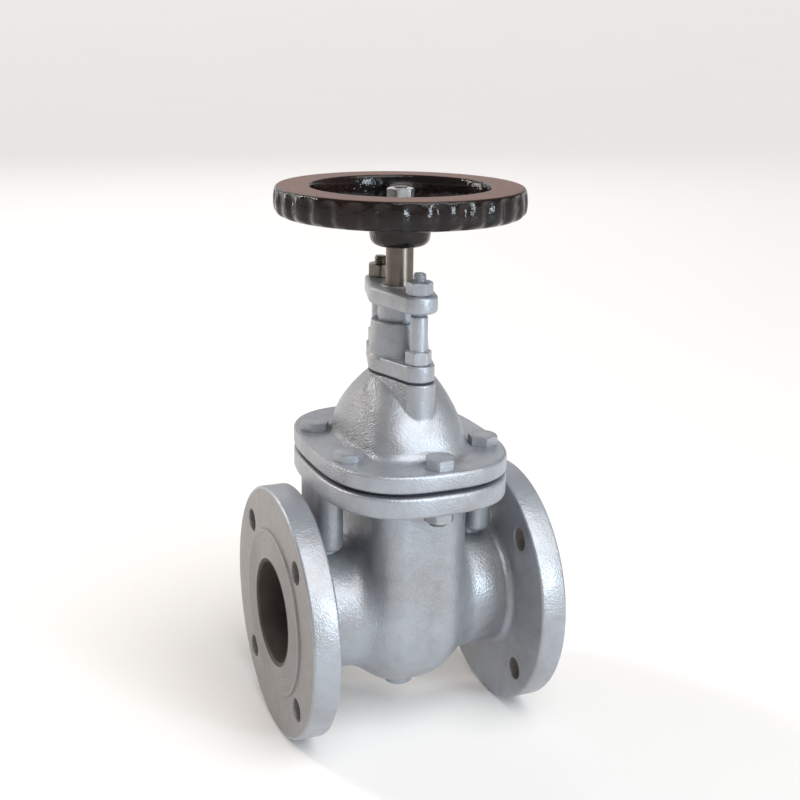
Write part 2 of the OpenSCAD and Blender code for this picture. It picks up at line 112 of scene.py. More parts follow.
class ValveBodySizes(bpy.types.PropertyGroup):
    """Sizes of the cast body."""
    flange_edge: size("Flange edge", "Radius of a pipe flange's edges", 2.2)
    raised_face_r: size("Raised face", "Radius of the raised sealing face", 66.5)
    raised_face_h: size("Raised face height", "Height of the raised sealing face", 1.5)
    flange_back: size("Flange back", "Distance of a flange's back from its sealing face", 23)
    bore_r: size("Bore", "Radius of the flow passage", 40)
    bolt_circle_r: size("Bolt circle", "Radius of the pipe bolts' circle", 80)
    bolt_hole_r: size("Bolt hole", "Radius of a pipe bolt hole", 9)
    neck_r: size("Neck", "Radius of a neck behind its flange", 49)
    bulge_r: size("Neck at the stem", "Radius of the swollen neck at the stem", 52.5)
    neck_fillet: size("Neck fillet", "Radius of the blend from a neck to its flange", 5.5)
    column_x: size("Column along the pipe", "Half width of the gate chamber along the pipe", 38.5)
    column_y: size("Column across the pipe", "Half width of the gate chamber across the pipe", 65)
    column_corner: size("Column corner", "Corner radius of the gate chamber", 22)
    column_drop: size("Column drop", "Drop of the chamber's round bottom below the pipe axis", 5)
    column_blend: size("Column blend", "Reach of the blend between the column and the necks", 13)
    column_soft: size("Column softening", "Growth of the chamber's corner radius towards its bottom", 10)
    drain_shift: size("Drain shift", "Distance of the drain boss from the stem, along the pipe", 3.3)
    wall: size("Wall", "Wall thickness of the body", 7)
    lug_foot: size("Lug foot", "Height of a lug's foot over the pipe axis", 54.5)
    joint_x: size("Joint along the pipe", "Half width of the oval joint flanges along the pipe", 73.6)
    joint_y: size("Joint across the pipe", "Half width of the oval joint flanges across the pipe", 95)
    joint_power: FloatProperty(name="Joint roundness", default=2.85, min=2, max=6,
                               description="Power of the oval joint flanges' outline")
    joint_edge: size("Joint edge", "Radius of the oval joint flanges' edges", 2.4)


class ValveTopSizes(bpy.types.PropertyGroup):
    """Sizes of the bonnet, the stuffing box and the gland."""
    dome_x: size("Dome along the pipe", "Half width of the dome along the pipe", 44.2)
    dome_y: size("Dome across the pipe", "Half width of the dome across the pipe", 64.2)
    dome_fillet: size("Dome fillet", "Radius of the blend at the dome's foot", 7)
    dome_wall: size("Dome wall", "Wall thickness of the dome", 6)
    boss_r: size("Stud boss", "Radius of the stud bosses on the dome", 13.2)
    boss_blend: size("Boss blend", "Reach of the blend between the stud bosses and the dome", 1.6)
    stud_y: size("Stud place", "Distance of a gland stud from the stem", 39)
    gland_end_r: size("Gland end", "Radius of the gland's ends", 13.7)
    box_end_r: size("Stuffing box end", "Radius of the ends of the stuffing box's flange", 12.3)
    box_thk: size("Stuffing box flange", "Thickness of the stuffing box's flange", 12.5)
    box_foot_r: size("Stuffing box foot", "Radius of the stuffing box at its foot", 23.5)
    box_mouth_r: size("Stuffing box mouth", "Radius of the stuffing box at its mouth", 21.4)
    gland_mid_r: size("Gland middle", "Radius of the gland's plate at its middle", 23.5)
    gland_sleeve_r: size("Gland sleeve", "Radius of the gland's sleeve", 16.4)
    bolt_af: size("Bonnet bolt", "Width over the flats of the bonnet bolts", 21)
    bolt_head: size("Bolt head", "Height of a bonnet bolt's head", 8.5)
    bolt_nut: size("Bolt nut", "Height of a bonnet bolt's nut", 8.5)
    bolt_d: size("Bolt shank", "Diameter of a bonnet bolt", 14)


class ValveWheelSizes(bpy.types.PropertyGroup):
    """Sizes of the handwheel."""
    rim_w: size("Rim width", "Width of the rim", 28.5)
    rim_h: size("Rim height", "Height of the rim", 21.5)
    rim_crown: size("Rim crown", "Swell of the rim's inner and outer side at mid height", 1.5)
    groove_depth: size("Grip depth", "Depth of the finger grips in the rim", 2.1)
    grooves: IntProperty(name="Finger grips", description="Number of finger grips round the rim",
                         default=30, min=12, max=60)
    spokes: IntProperty(name="Spokes", description="Number of spokes", default=3, min=3, max=5)
    spoke_turn: FloatProperty(name="First spoke", description="Direction of the first spoke, from +X",
                              default=math.radians(66), subtype="ANGLE")
    spoke_w: size("Spoke width", "Width of a spoke", 22)
    spoke_thk: size("Spoke thickness", "Thickness of a spoke", 11)
    hub_r: size("Hub", "Radius of the hub", 24)


class ValveColours(bpy.types.PropertyGroup):
    """Colours of the finishes."""
    silver: tint("Silver paint", "Silver paint on the castings", 0.355, 0.38, 0.42)
    # This colour serves the thin paint patches and also the painted shade on the flange faces and bolt hole
    # walls.
    silver_thin_and_shade: tint("Thin paint", "Silver paint where it is thin or dusty", 0.20, 0.177, 0.160)
    enamel: tint("Black enamel", "Gloss black enamel of the handwheel", 0.006, 0.005, 0.005)
    enamel_worn: tint("Rubbed enamel", "Rubbed primer on the handwheel's top", 0.17, 0.105, 0.09)
    steel: tint("Bare steel", "Turned steel of the stem", 0.19, 0.17, 0.145)
    zinc: tint("Zinc", "Plated steel of the washer and the wheel nut", 0.74, 0.75, 0.77)
    bronze: tint("Bronze", "Machined bronze of the sealing rings", 0.62, 0.42, 0.19)
    iron: tint("Bare iron", "Bare iron inside the body", 0.055, 0.041, 0.034)
    sheet: tint("Gasket", "Fibre sheet of the gaskets", 0.012, 0.015, 0.025)
    floor: tint("Floor", "Studio floor", 0.86, 0.85, 0.84)


# Shapes

def smooth_max(a, b, reach):
    """The larger of a and b, with a parabola of this reach across the crease."""
    h = np.maximum(reach - np.abs(a - b), 0) / reach
    return np.maximum(a, b) + h * h * reach / 4


def smooth_min(a, b, reach):
    """The smaller of a and b, with a parabola of this reach across the crease."""
    return -smooth_max(-a, -b, reach)


def smooth_step(t):
    """Rises from 0 to 1 as t does, level at both ends."""
    t = np.clip(t, 0, 1)
    return t * t * (3 - 2 * t)


def angles(count):
    """Equal steps round a full turn."""
    return np.arange(count) * TAU / count


def rays(a):
    """The directions at angles a."""
    return np.stack([np.cos(a), np.sin(a)], -1)


def rounded(points, radii, steps=5):
    """A polyline whose inner corners are arcs: each corner is cut at radius times the tangent of half
    its turn."""
    points = [np.array(p, float) for p in points]
    line = [points[0]]
    for before, corner, after, radius in zip(points, points[1:], points[2:], radii):
        into, out = corner - before, after - corner
        into, out = into / np.linalg.norm(into), out / np.linalg.norm(out)
        turn = math.atan2(into[0] * out[1] - into[1] * out[0], into @ out)
        if radius <= 0 or abs(turn) < 1e-6:
            line.append(corner)
            continue
        start = corner - into * radius * math.tan(abs(turn) / 2)
        side = math.copysign(1, turn)
        centre = start + side * radius * np.array([-into[1], into[0]])
        spoke = start - centre
        a = np.linspace(0, turn, steps + 1)
        line += list(centre + np.stack([np.cos(a) * spoke[0] - np.sin(a) * spoke[1],
                                        np.sin(a) * spoke[0] + np.cos(a) * spoke[1]], 1))
    return np.array(line + [points[-1]])


def outline(circles, count=144):
    """Convex outline round circles (x, y, r): for each direction, the point of the circle that reaches
    furthest."""
    n = rays(angles(count))
    c = np.array(circles, float)
    furthest = np.argmax(n @ c[:, :2].T + c[:, 2], 1)
    return c[furthest, :2] + n * c[furthest, 2:], n


def corners(half_x, half_y, r):
    """The four corner circles of a round-cornered rectangle."""
    return [(sx * (half_x - r), sy * (half_y - r), r) for sx in (-1, 1) for sy in (-1, 1)]


def oval(half_x, half_y, power, count=180):
    """Superellipse: the powers of x over half_x and y over half_y add up to 1. Its normals are that
    sum's gradient."""
    ray = rays(angles(count))
    half = np.array([half_x, half_y])
    side, reach = np.sign(ray), np.abs(ray)
    normals = side * reach ** (2 - 2 / power) / half
    return side * half * reach ** (2 / power), normals / np.linalg.norm(normals, axis=1, keepdims=True)


def patch(points, around=True, flip=False, material=0):
    """A grid of points (rows, columns, 3) as a surface; around joins the last column to the first."""
    points = np.asarray(points, float)
    rows, columns = points.shape[:2]
    i, j = np.meshgrid(np.arange(rows - 1), np.arange(columns if around else columns - 1), indexing="ij")
    k = (j + 1) % columns
    quads = np.stack([i * columns + j, i * columns + k, (i + 1) * columns + k, (i + 1) * columns + j], -1)
    quads = quads.reshape(-1, 4)
    return points.reshape(-1, 3), quads[:, ::-1] if flip else quads, material


def turned(profile, centre=(STEM_X, 0, 0), count=96, along="z", flip=False, material=0):
    """Profile (radius, height) turned about an axis through centre: radius times cosine and sine, and
    the height."""
    a = angles(count)
    r, h = np.asarray(profile, float).T
    x, y = r[:, None] * np.cos(a), r[:, None] * np.sin(a)
    z = np.broadcast_to(h[:, None], x.shape)
    grid = np.stack([x, y, z] if along == "z" else [z, x, y], -1)
    return patch(grid + np.array(centre), True, flip, material)


def stacked(flat, z):
    """Plan outlines (rows, columns, 2) at the heights z as one surface."""
    return patch(np.concatenate([flat, np.broadcast_to(z[:, None, None], flat.shape[:2] + (1,))], -1))


def carried(plan, profile, centre=(STEM_X, 0)):
    """Profile (offset, height) carried round a plan outline: each ring is the outline moved along its
    normals."""
    points, normals = plan
    d, z = np.asarray(profile, float).T
    return stacked(points + normals * d[:, None, None] + np.array(centre), z)


def oval_reach(angle, half_x, half_y, power):
    """Radius of a superellipse at an angle: its cosine over half_x and its sine over half_y, raised to
    the power, add up to the inverse power of the radius."""
    x, y = np.abs(np.cos(angle)) / half_x, np.abs(np.sin(angle)) / half_y
    return (x ** power + y ** power) ** (-1 / power)


def opened(plan, profile, hole):
    """A plate with a hole: the profile carried round a plan outline, and its ends joined by the hole's
    wall. The hole is a superellipse (half_x, half_y, power), taken at the angles of the plan's normals."""
    points, normals = plan
    d, z = np.asarray(profile, float).T
    angle = np.arctan2(normals[:, 1], normals[:, 0])
    wall = (oval_reach(angle, *hole)[:, None] * rays(angle))[None]
    flat = np.concatenate([wall, points + normals * d[:, None, None], wall, wall])
    return stacked(flat + np.array([STEM_X, 0]), np.concatenate([z[:1], z, z[-1:], z[:1]]))


def below(part, top):
    """A surface without the faces that lie wholly at the height top."""
    points, quads, material = part
    return points, quads[(points[quads][:, :, 2] < top - 0.01).any(1)], material


def joined(parts):
    """Several surfaces as one set of points, quads and a material number for each quad."""
    points, quads, numbers, start = [], [], [], 0
    for p, q, m in parts:
        points.append(p)
        quads.append(q + start)
        numbers.append(np.broadcast_to(m, len(q)))
        start += len(p)
    return np.concatenate(points), np.concatenate(quads), np.concatenate(numbers)


def lidded(part):
    """A surface of rings closed at its first and last ring by a fan to the ring's middle."""
    points, quads, material = part
    columns = quads[0, 3] - quads[0, 0]
    first, last = points[:columns], points[-columns:]
    low = patch(np.stack([np.broadcast_to(first.mean(0), first.shape), first]))
    high = patch(np.stack([last, np.broadcast_to(last.mean(0), last.shape)]))
    points, quads, _ = joined([part, low, high])
    return points, quads, material


def edged(height, foot, edge):
    """Side profile (offset, height) of a plate from foot up, with both edges round."""
    top, inner = foot + height, -3 * edge
    return rounded([(inner, foot), (0, foot), (0, top), (inner, top)], [edge, edge])


def hexagon(af, foot, top, centre, turn=0.0, chamfer_low=True):
    """Hexagon of width af over the flats, from foot to top, with corners cut by a 30 degree cone.
    The side at angle a lies at af/2 over the cosine of a's distance from the nearest flat."""
    a = angles(48)
    half = af / 2
    near = (a + TAU / 12) % (TAU / 6) - TAU / 12
    soft = np.minimum(half / np.cos(near), 1.125 * half)
    drop = (soft - 0.96 * half) * math.tan(math.radians(30))
    flat, inner = 0.94 * half, 0.25 * half
    lower = [(flat, foot), (soft, foot + drop)] if chamfer_low else [(soft - 0.2, foot), (soft, foot + 0.2)]
    rows = [(inner, foot), *lower, (soft, top - drop), (flat, top), (inner, top)]
    r, z = (np.stack([row[k] + np.zeros_like(a) for row in rows]) for k in (0, 1))
    x, y = centre[0] + r * np.cos(a + turn), centre[1] + r * np.sin(a + turn)
    return lidded(patch(np.stack([x, y, z], -1)))


def threaded(radius, foot, top, pitch, depth, centre, count=32, per_turn=8):
    """Screw thread: the radius falls by depth along a wave of height over pitch less angle over a turn,
    and by nine tenths of it over the last turn."""
    z = np.linspace(foot, top, int((top - foot) / pitch * per_turn) + 1)[:, None]
    a = angles(count)[None]
    wave = np.abs(((z / pitch - a / TAU) % 1) * 2 - 1)
    end = 1 - np.clip((top - z) / pitch, 0, 1)
    r = radius - depth * smooth_step(wave * 1.15) - end * depth * 0.9
    x, y = centre[0] + r * np.cos(a), centre[1] + r * np.sin(a)
    return lidded(patch(np.stack([x, y, z + 0 * a], -1)))


# Pieces

def welded_object(name, parts, finishes, sharp=SHARP):
    """One mesh object of several surfaces given in millimetres, with its seams and poles welded and
    its finishes given by name."""
    points, quads, numbers = joined(parts)
    mesh = bpy.data.meshes.new(name)
    mesh.from_pydata((points * MM).tolist(), [], quads.tolist())
    mesh.polygons.foreach_set("material_index", numbers.astype(np.int32))
    work = bmesh.new()
    work.from_mesh(mesh)
    bmesh.ops.remove_doubles(work, verts=work.verts, dist=1e-6)
    bmesh.ops.dissolve_degenerate(work, edges=work.edges, dist=1e-7)
    work.to_mesh(mesh)
    work.free()
    mesh.polygons.foreach_set("use_smooth", np.ones(len(mesh.polygons), bool))
    mesh.set_sharp_from_angle(angle=math.radians(sharp))
    for key in finishes:
        mesh.materials.append(finish(key))
    piece = bpy.data.objects.new(name, mesh)
    bpy.context.scene.collection.objects.link(piece)
    return piece


def make_piece(name, parts, finishes, body, stands_for=(), sharp=SHARP):
    """Makes a piece of several surfaces and sets it on its body."""
    piece = welded_object(name, parts, finishes, sharp)
    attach(piece, body)
    if stands_for:
        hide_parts(*stands_for)
    return piece


def dress(node, key):
    """Gives a CAD node the finish of this name."""
    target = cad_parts[node]
    target.data.materials.clear()
    target.data.materials.append(finish(key))


# Finishes

def operation(name, swapped=False):
    """A method of Wire that adds a Math node of this name; swapped puts the other value first."""
    return lambda self, other: self.maths(name, *((other, self) if swapped else (self, other)))


class Wire:
    """A shader socket: arithmetic on it adds Math nodes."""

    def __init__(self, socket):
        self.socket = socket

    def maths(self, name, *values):
        """Adds a Math node with these values and returns its output."""
        node = self.socket.id_data.nodes.new("ShaderNodeMath")
        node.operation = name
        for socket, value in zip(node.inputs, values):
            feed(socket, value)
        return Wire(node.outputs[0])

    __add__, __radd__ = operation("ADD"), operation("ADD", True)
    __sub__, __rsub__ = operation("SUBTRACT"), operation("SUBTRACT", True)
    __mul__, __rmul__ = operation("MULTIPLY"), operation("MULTIPLY", True)
    __truediv__, __rtruediv__ = operation("DIVIDE"), operation("DIVIDE", True)


def feed(socket, value):
    """Sets a socket to a value, or links it to a wire."""
    if isinstance(value, Wire):
        socket.id_data.links.new(value.socket, socket)
    elif socket.type == "RGBA" and len(value) == 3:
        socket.default_value = (*value, 1)
    else:
        socket.default_value = value


class Finish:
    """A material and the nodes that make it."""

    def __init__(self, name):
        self.material = bpy.data.materials.new(name)
        self.material.use_nodes = True
        self.nodes = self.material.node_tree.nodes
        self.place = self.node("TexCoord", "Object")

    def node(self, kind, output=0, settings=None, **values):
        """Adds a node of this kind: first its settings, such as a ramp's stops, then its sockets' values
        or links. Returns one of its outputs."""
        node = self.nodes.new("ShaderNode" + kind)
        for key, value in (settings or {}).items():
            if key == "stops":
                for element, (at, level) in zip(node.color_ramp.elements, value):
                    element.position = at
                    element.color = (level, level, level, 1)
            else:
                setattr(node, key, value)
        for key, value in values.items():
            name = key.replace("_", " ")
            feed(next(s for s in node.inputs if s.name == name and s.enabled), value)
        return Wire(node.outputs[output])

    def noise(self, scale, detail=3.0, roughness=0.55, distortion=0.0, at=None):
        """Noise of this scale, in features to a metre."""
        return self.node("TexNoise", Vector=at or self.place, Scale=scale, Detail=detail,
                         Roughness=roughness, Distortion=distortion)

    def grains(self, scale):
        """Distance to the nearest grain of a sandy surface."""
        return self.node("TexVoronoi", Vector=self.place, Scale=scale)

    def stretched(self, x, y, z):
        """Object coordinates scaled on each axis."""
        return self.node("Mapping", Vector=self.place, Scale=(x, y, z))

    def ramp(self, value, start, end, low=0.0, high=1.0):
        """A number that goes from low to high as value goes from start to end."""
        return self.node("ValToRGB", settings={"stops": ((start, low), (end, high))}, Fac=value)

    def mix(self, share, first, second):
        """A colour between two, by share."""
        return self.node("Mix", 2, {"data_type": "RGBA"}, Factor=share, A=first, B=second)

    def parts(self, vector):
        """The three numbers of a vector."""
        node = self.node("SeparateXYZ", Vector=vector).socket.node
        return [Wire(out) for out in node.outputs]

    def normal(self):
        """The three numbers of the surface's normal."""
        return self.parts(self.node("NewGeometry", "Normal"))

    def bump(self, height, strength, distance):
        """Height in millimetres as a change of the shading normal."""
        return self.node("Bump", Height=height, Strength=strength, Distance=distance * MM)

    def set(self, **values):
        """Sets or links the shader's own sockets."""
        for key, value in values.items():
            feed(self.nodes["Principled BSDF"].inputs[key.replace("_", " ")], value)
        return self.material


def cast_silver_paint(colours, name="cast_silver_paint", sides=0.0, painted_shade_share=0.0):
    """Silver paint brushed over sand-cast iron: grains, soft waves and thin dusty patches. The grains
    grow by sides where the surface faces along the pipe; the last argument is the share of darker, warmer
    paint laid all over as painted shade."""
    f = Finish(name)
    along, across, _ = [part.maths("ABSOLUTE", part) for part in f.normal()]
    rough = 1 + f.ramp(along / (along + across + 0.15), 0.54, 0.68) * sides
    patches = f.noise(14, 4, 0.6, 0.4)
    mottle = f.noise(95, 5, 0.65)
    speck = f.noise(900, 2, 0.5)
    sand = f.grains(620)
    wave = f.noise(42, 3, 0.5)
    thin = f.ramp(patches * 0.7 + mottle * 0.3, 0.42, 0.68)
    # Painted shade: the last argument pulls the whole surface towards the darker, warmer colour.
    colour = f.mix(painted_shade_share + thin * (0.55 - 0.55 * painted_shade_share), colours.silver, colours.silver_thin_and_shade)
    colour = f.mix(f.ramp(speck, 0.55, 0.8, 0.0, 0.35), colour, (0.52, 0.535, 0.55))
    gloss = 0.30 + mottle * 0.12 + speck * 0.08
    height = wave * 1.5 + (mottle * 0.55 + sand * 0.28 + speck * 0.2) * rough
    return f.set(Base_Color=colour, Metallic=0.55 - 0.3 * painted_shade_share, Roughness=gloss, Coat_Weight=0.15,
                 Coat_Roughness=0.22, Normal=f.bump(height, 0.62, 0.9))


def bonnet_silver_paint(colours):
    """The same paint on the bonnet, whose sides along the pipe are coarser."""
    return cast_silver_paint(colours, "bonnet_silver_paint", 3.5)


def painted_shade_face_paint(colours):
    """The same paint, darker and warmer all over as painted shade, on the pipe flanges' turned faces and
    bolt hole walls.
    """
    return cast_silver_paint(colours, "painted_shade_face_paint", 0.0, 0.75)


def gloss_black_enamel(colours):
    """Gloss enamel on the handwheel, rubbed to a dull brown on the flat top of the rim, which lies
    above 326 to 330 mm."""
    f = Finish("gloss_black_enamel")
    upward = f.ramp(f.normal()[2], 0.80, 0.97)
    high = f.ramp((f.parts(f.place)[2] - 0.3) * 10, 0.26, 0.30)
    blotch = f.noise(38, 4, 0.6)
    rubbed = upward * high * f.ramp(blotch, 0.18, 0.6, 0.72)
    pits = f.noise(420, 3, 0.6)
    ripple = f.noise(120, 3, 0.5)
    tinge = f.ramp(f.noise(22, 3, 0.5), 0.4, 0.75)
    warm = f.mix(tinge, colours.enamel, (0.013, 0.006, 0.005))
    colour = f.mix(rubbed, warm, f.mix(pits, colours.enamel_worn, (0.24, 0.16, 0.14)))
    gloss = 0.10 + rubbed * 0.5 + pits * 0.05
    return f.set(Base_Color=colour, Roughness=gloss, Specular_IOR_Level=0.22,
                 Coat_Weight=0.2 - rubbed * 0.2, Coat_Roughness=0.05,
                 Normal=f.bump(ripple * 2.2 + pits * 0.22, 0.8, 0.8))


def turned_steel(colours):
    """Turned bare steel with fine streaks along the stem and faint rings."""
    f = Finish("turned_steel")
    streak = f.noise(260, 4, 0.6, at=f.stretched(1, 1, 0.03))
    ring = f.noise(900, 2, 0.5, at=f.stretched(0.02, 0.02, 1))
    stain = f.noise(60, 3, 0.6)
    brown = f.ramp(streak * 0.6 + stain * 0.4, 0.35, 0.65)
    colour = f.mix(brown, colours.steel, (0.115, 0.095, 0.075))
    return f.set(Base_Color=colour, Metallic=0.92, Roughness=0.26 + streak * 0.14,
                 Normal=f.bump(ring * 0.3 + streak * 0.2, 0.35, 0.3))


def zinc_plate(colours):
    """Plated steel of the washer and nut, slightly cloudy."""
    f = Finish("zinc_plate")
    cloud = f.noise(180, 3, 0.6)
    scratch = f.noise(700, 3, 0.6)
    colour = f.mix(cloud, colours.zinc, (0.45, 0.44, 0.43))
    return f.set(Base_Color=colour, Metallic=0.95, Roughness=0.24 + cloud * 0.16,
                 Normal=f.bump(scratch, 0.3, 0.15))


def machined_bronze(colours):
    """Machined bronze with turning marks."""
    f = Finish("machined_bronze")
    mark = f.noise(500, 3, 0.6)
    stain = f.noise(70, 3, 0.6)
    colour = f.mix(stain, colours.bronze, (0.42, 0.27, 0.13))
    return f.set(Base_Color=colour, Metallic=0.95, Roughness=0.3 + mark * 0.15,
                 Normal=f.bump(mark, 0.3, 0.2))


def raw_cast_iron(colours):
    """Dull brown iron inside the passage, sand cast."""
    f = Finish("raw_cast_iron")
    stain = f.noise(45, 5, 0.65, 0.5)
    sand = f.grains(500)
    pits = f.noise(300, 4, 0.6)
    colour = f.mix(f.ramp(stain, 0.3, 0.7), colours.iron, (0.085, 0.072, 0.064))
    return f.set(Base_Color=colour, Metallic=0.25, Roughness=0.55 + pits * 0.25,
                 Normal=f.bump(sand * 0.3 + pits * 0.6, 0.6, 0.8))


def gasket_sheet(colours):
    """Dark fibre sheet."""
    f = Finish("gasket_sheet")
    fibre = f.noise(700, 4, 0.7)
    colour = f.mix(fibre, colours.sheet, (0.03, 0.032, 0.042))
    return f.set(Base_Color=colour, Roughness=0.75 + fibre * 0.15, Normal=f.bump(fibre, 0.4, 0.3))


def packing_yarn(colours):
    """Braided graphite yarn."""
    f = Finish("packing_yarn")
    braid = f.node("TexWave", 1, Vector=f.place, Scale=120.0, Distortion=1.5, Detail=1.0)
    colour = f.mix(braid, (0.02, 0.02, 0.02), (0.06, 0.06, 0.062))
    return f.set(Base_Color=colour, Roughness=0.5 + braid * 0.2, Normal=f.bump(braid, 0.6, 0.6))


def studio_floor(colours):
    """Plain pale floor, faintly uneven."""
    f = Finish("studio_floor")
    shade = f.noise(1.5, 2, 0.5)
    colour = f.mix(shade * 0.3, colours.floor, (0.80, 0.79, 0.78))
    return f.set(Base_Color=colour, Roughness=0.9)


MAKERS = {maker.__name__: maker for maker in (
    cast_silver_paint, bonnet_silver_paint, painted_shade_face_paint, gloss_black_enamel, turned_steel,
    zinc_plate, machined_bronze, raw_cast_iron, gasket_sheet, packing_yarn, studio_floor)}


def finish(name):
    """The material of this name, made on first use."""
    return bpy.data.materials.get(name) or MAKERS[name](bpy.context.scene.valve_colours)


def sizes(group):
    """The lengths of a property group in millimetres, and its counts and angles as they are."""
    values = SimpleNamespace()
    for key, prop in group.bl_rna.properties.items():
        if prop.type in ("INT", "FLOAT"):
            value = getattr(group, key)
            setattr(values, key, value / MM if prop.subtype == "DISTANCE" else value)
    return values


# Body

def perforated_ring(b, inner, outer, face, into, wall_end, material=0):
    """A flat ring with the four pipe bolt holes, at distance face from the sealing side. Round each hole
    the grid goes from a square of the ring to the hole's circle, whose edge is round. into is the sense
    of the hole's wall, which goes on to wall_end."""
    step, half, quarter = math.radians(2.5), 6, TAU / 4
    plain = np.arange(half, quarter / step - half + 0.5) * step
    r = np.linspace(inner, outer, 4)[:, None]
    side = np.linspace(inner, outer, 9)
    a = np.arange(-half, half + 1) * step
    edge_a = np.concatenate([a[:-1], np.full(8, a[-1]), a[:0:-1], np.full(8, a[0])])
    edge_r = np.concatenate([np.full(12, outer), side[:0:-1], np.full(12, inner), side[:-1]])
    square = edge_r[:, None] * rays(edge_a)
    hole = np.array([b.bolt_circle_r, 0])
    way = square - hole
    way = way / np.linalg.norm(way, axis=1, keepdims=True)
    lip = np.array([0.9, 0.55, 0.26, 0.07, 0.0])
    circles = [hole + way * (b.bolt_hole_r + x) for x in lip]
    rings = [square, square * 0.66 + circles[0] * 0.34, square * 0.3 + circles[0] * 0.7]
    rings = np.stack(rings + circles + circles[-1:] * 2)
    depth = np.array([face] * 3 + list(face + into * lip[::-1]) + [face + 3 * into, wall_end])
    cells = []
    for k in range(4):
        middle = quarter * (k + 0.5)
        t = middle + plain
        flat = np.stack([np.full((4, len(t)), face), r * np.cos(t), r * np.sin(t)], -1)
        cells.append(patch(flat, False, into < 0, material))
        c, s = math.cos(middle), math.sin(middle)
        round_hole = rings @ np.array([[c, s], [-s, c]])
        level = np.broadcast_to(depth[:, None, None], round_hole.shape[:2] + (1,))
        grid = np.concatenate([level, round_hole], -1)
        # Finish 2 on the hole walls is the face paint, darkened and warmed as painted shade.
        cells += [patch(grid[:-3], True, into > 0, material), patch(grid[-4:], True, into > 0, 2)]
    return cells


def neck_end(b):
    """Radius of a neck where its blend to the flange starts, on the parabola from the stem to the
    flange's back."""
    run = STEM_X - b.flange_back
    return b.bulge_r - (b.bulge_r - b.neck_r) * (1 - b.neck_fillet / run) ** 2


def pipe_flange(b, mirror):
    """One pipe flange: turned profiles of the passage, the raised face with its fine grooves, the rim and
    the back, and two perforated rings."""
    rim, back, foot, edge = HIGH["body"][1], b.flange_back, b.raised_face_h, b.flange_edge
    face_r, bore = b.raised_face_r, b.bore_r
    chamber = STEM_X - b.column_x + b.wall
    passage = rounded([(bore + SEAT_STEP, chamber), (bore, chamber), (bore, 1.4), (bore + 1.4, 0),
                       (bore + 3, 0)], [0.4, 1.0, 1.0], 3)
    grooves = [(g + d, h) for g in np.linspace(bore + 5, face_r - 4, 9)
               for d, h in ((-0.45, 0), (0, 0.3), (0.45, 0))]
    step = rounded([(face_r - 2, 0), (face_r, 0), (face_r, foot), (face_r + 1, foot)], [0.7, 0.5], 3)
    face = [(bore + 3, 0), *grooves, *step]
    outside = rounded([(rim - edge, foot), (rim, foot), (rim, back), (rim - edge, back)], [edge, edge], 4)
    neck, blend = neck_end(b), b.neck_fillet
    arc = np.linspace(0, TAU / 4, 10)
    curve = np.stack([neck + blend - blend * np.sin(arc), back + blend - blend * np.cos(arc)], 1)
    behind = [(face_r + 1, back), *curve, (neck - 1.5, back + blend + 1)]
    # Finish 2, on the sealing face and the front ring, is the face paint, darkened and warmed as painted
    # shade.
    parts = [turned(profile, (0, 0, 0), 144, "x", False, material)
             for profile, material in ((passage, 1), (face, 2), (outside, 0), (behind, 0))]
    middle = (foot + back) / 2
    parts += perforated_ring(b, face_r + 1, rim - edge, foot, 1, middle, 2)
    parts += perforated_ring(b, face_r + 1, rim - edge, back, -1, middle)
    if mirror:
        far = HIGH["body"][0]
        parts = [(p * (-1, 1, 1) + (far, 0, 0), q[:, ::-1], m) for p, q, m in parts]
    return parts


def column_distance(x, y, z, half_x, half_y, corner, drop, soft):
    """Distance outside the gate chamber: a round-cornered rectangle in plan, turned about the pipe below
    the drop, where its corners grow rounder by soft."""
    low = np.minimum(z + drop, 0)
    across = np.sqrt(y * y + low * low)
    corner = corner + soft * smooth_step(-low / half_y)
    qx, qy = np.abs(x) - half_x + corner, across - half_y + corner
    outside = np.sqrt(np.maximum(qx, 0) ** 2 + np.maximum(qy, 0) ** 2)
    return outside + np.minimum(np.maximum(qx, qy), 0) - corner


def ray_surface(distance, polar, count, furthest=220.0):
    """For each polar angle from the pipe and each angle round it, the point along that ray from the body's
    middle where distance turns positive, found by halving."""
    a = angles(count)[None]
    polar = np.asarray(polar)[:, None]
    ray = np.stack([-np.cos(polar) + 0 * a, np.sin(polar) * np.cos(a), np.sin(polar) * np.sin(a)], -1)
    near, far = np.zeros(ray.shape[:2]), np.full(ray.shape[:2], furthest)
    for _ in range(34):
        middle = (near + far) / 2
        inside = distance(*np.moveaxis(ray * middle[..., None], -1, 0)) < 0
        near, far = np.where(inside, middle, near), np.where(inside, far, middle)
    return ray * near[..., None] + np.array([STEM_X, 0, 0])


def body_skin(b):
    """The necks and the column as one surface: rays from the middle meet the blended union of both.
    The chamber inside is a second one, and both are open at the top, within the oval flange."""
    run = STEM_X - b.flange_back
    joint = TOP["body"] - 6

    def neck(x, y, z):
        swell = b.bulge_r - (b.bulge_r - b.neck_r) * np.minimum(np.abs(x) / run, 1) ** 2
        return np.sqrt(y * y + z * z) - swell

    def column(x, y, z, wall, soft):
        return column_distance(x, y, z, b.column_x - wall, b.column_y - wall, b.column_corner - wall,
                               b.column_drop, soft)

    def outside(x, y, z):
        both = smooth_min(neck(x, y, z), column(x, y, z, 0, b.column_soft), b.column_blend)
        return np.maximum(both, z - joint)

    def inside(x, y, z):
        return np.maximum(column(x, y, z, b.wall, 0), z - joint)

    start = math.atan2(neck_end(b), run - b.neck_fillet)
    mouth = math.atan2(b.bore_r + SEAT_STEP, b.column_x - b.wall)
    skin = patch(ray_surface(outside, np.linspace(start, math.pi - start, 210), 216))
    chamber = patch(ray_surface(inside, np.linspace(mouth, math.pi - mouth, 60), 144), True, True, 1)
    return [below(skin, joint), below(chamber, joint)]


def chamber_mouth(b):
    """The hole in both oval flanges through which the gate rises."""
    return b.column_x - b.wall, b.column_y - b.wall - 2, 3.5


